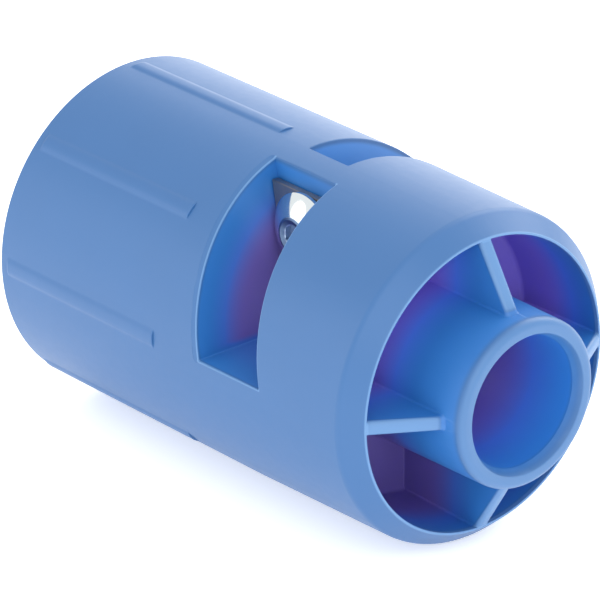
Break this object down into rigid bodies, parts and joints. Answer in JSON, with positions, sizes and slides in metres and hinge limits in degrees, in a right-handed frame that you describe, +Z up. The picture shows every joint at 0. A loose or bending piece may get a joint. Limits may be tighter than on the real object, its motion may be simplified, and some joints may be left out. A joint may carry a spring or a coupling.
{
  "type": "pipe deburring tool",
  "caption": "Hollow plastic hand tool that bevels a pipe's end: guide tube braced in a front ring, ridged grip, and a blade screwed in a side pocket.",
  "frame": {"origin": "bottom centre of the whole tool's box, as it lies on its side", "axes": "+X along the tool's axis towards the guide tube, +Z up; the blade's pocket opens towards -Y"},
  "size_m": [0.086, 0.051, 0.0511],
  "materials": {
    "blue_plastic": "satin, as moulded",
    "blade_steel": "hardened, dark, ground edge",
    "bright_zinc": "bright, smooth",
    "nut_steel": "zinc plated"
  },
  "bodies": {
    "body": {"tool_body": "blue_plastic"},
    "blade": {"cutter_blade": "blade_steel"},
    "screw": {"blade_screw": "bright_zinc"},
    "nut": {"lock_nut": "nut_steel"}
  },
  "joints": [
    {"name": "blade_lift_off", "type": "slide", "parent": "body", "child": "blade", "axis": [0, -1, 0], "range_m": [0, 0.022]},
    {"name": "screw_turn", "type": "hinge", "parent": "blade", "child": "screw", "pos_m": [0.00484, -0.00785, 0.04144], "axis": [0, -1, 0], "continuous": true},
    {"name": "nut_lift_off", "type": "slide", "parent": "body", "child": "nut", "axis": [0, 1, 0], "range_m": [0, 0.024]}
  ]
}
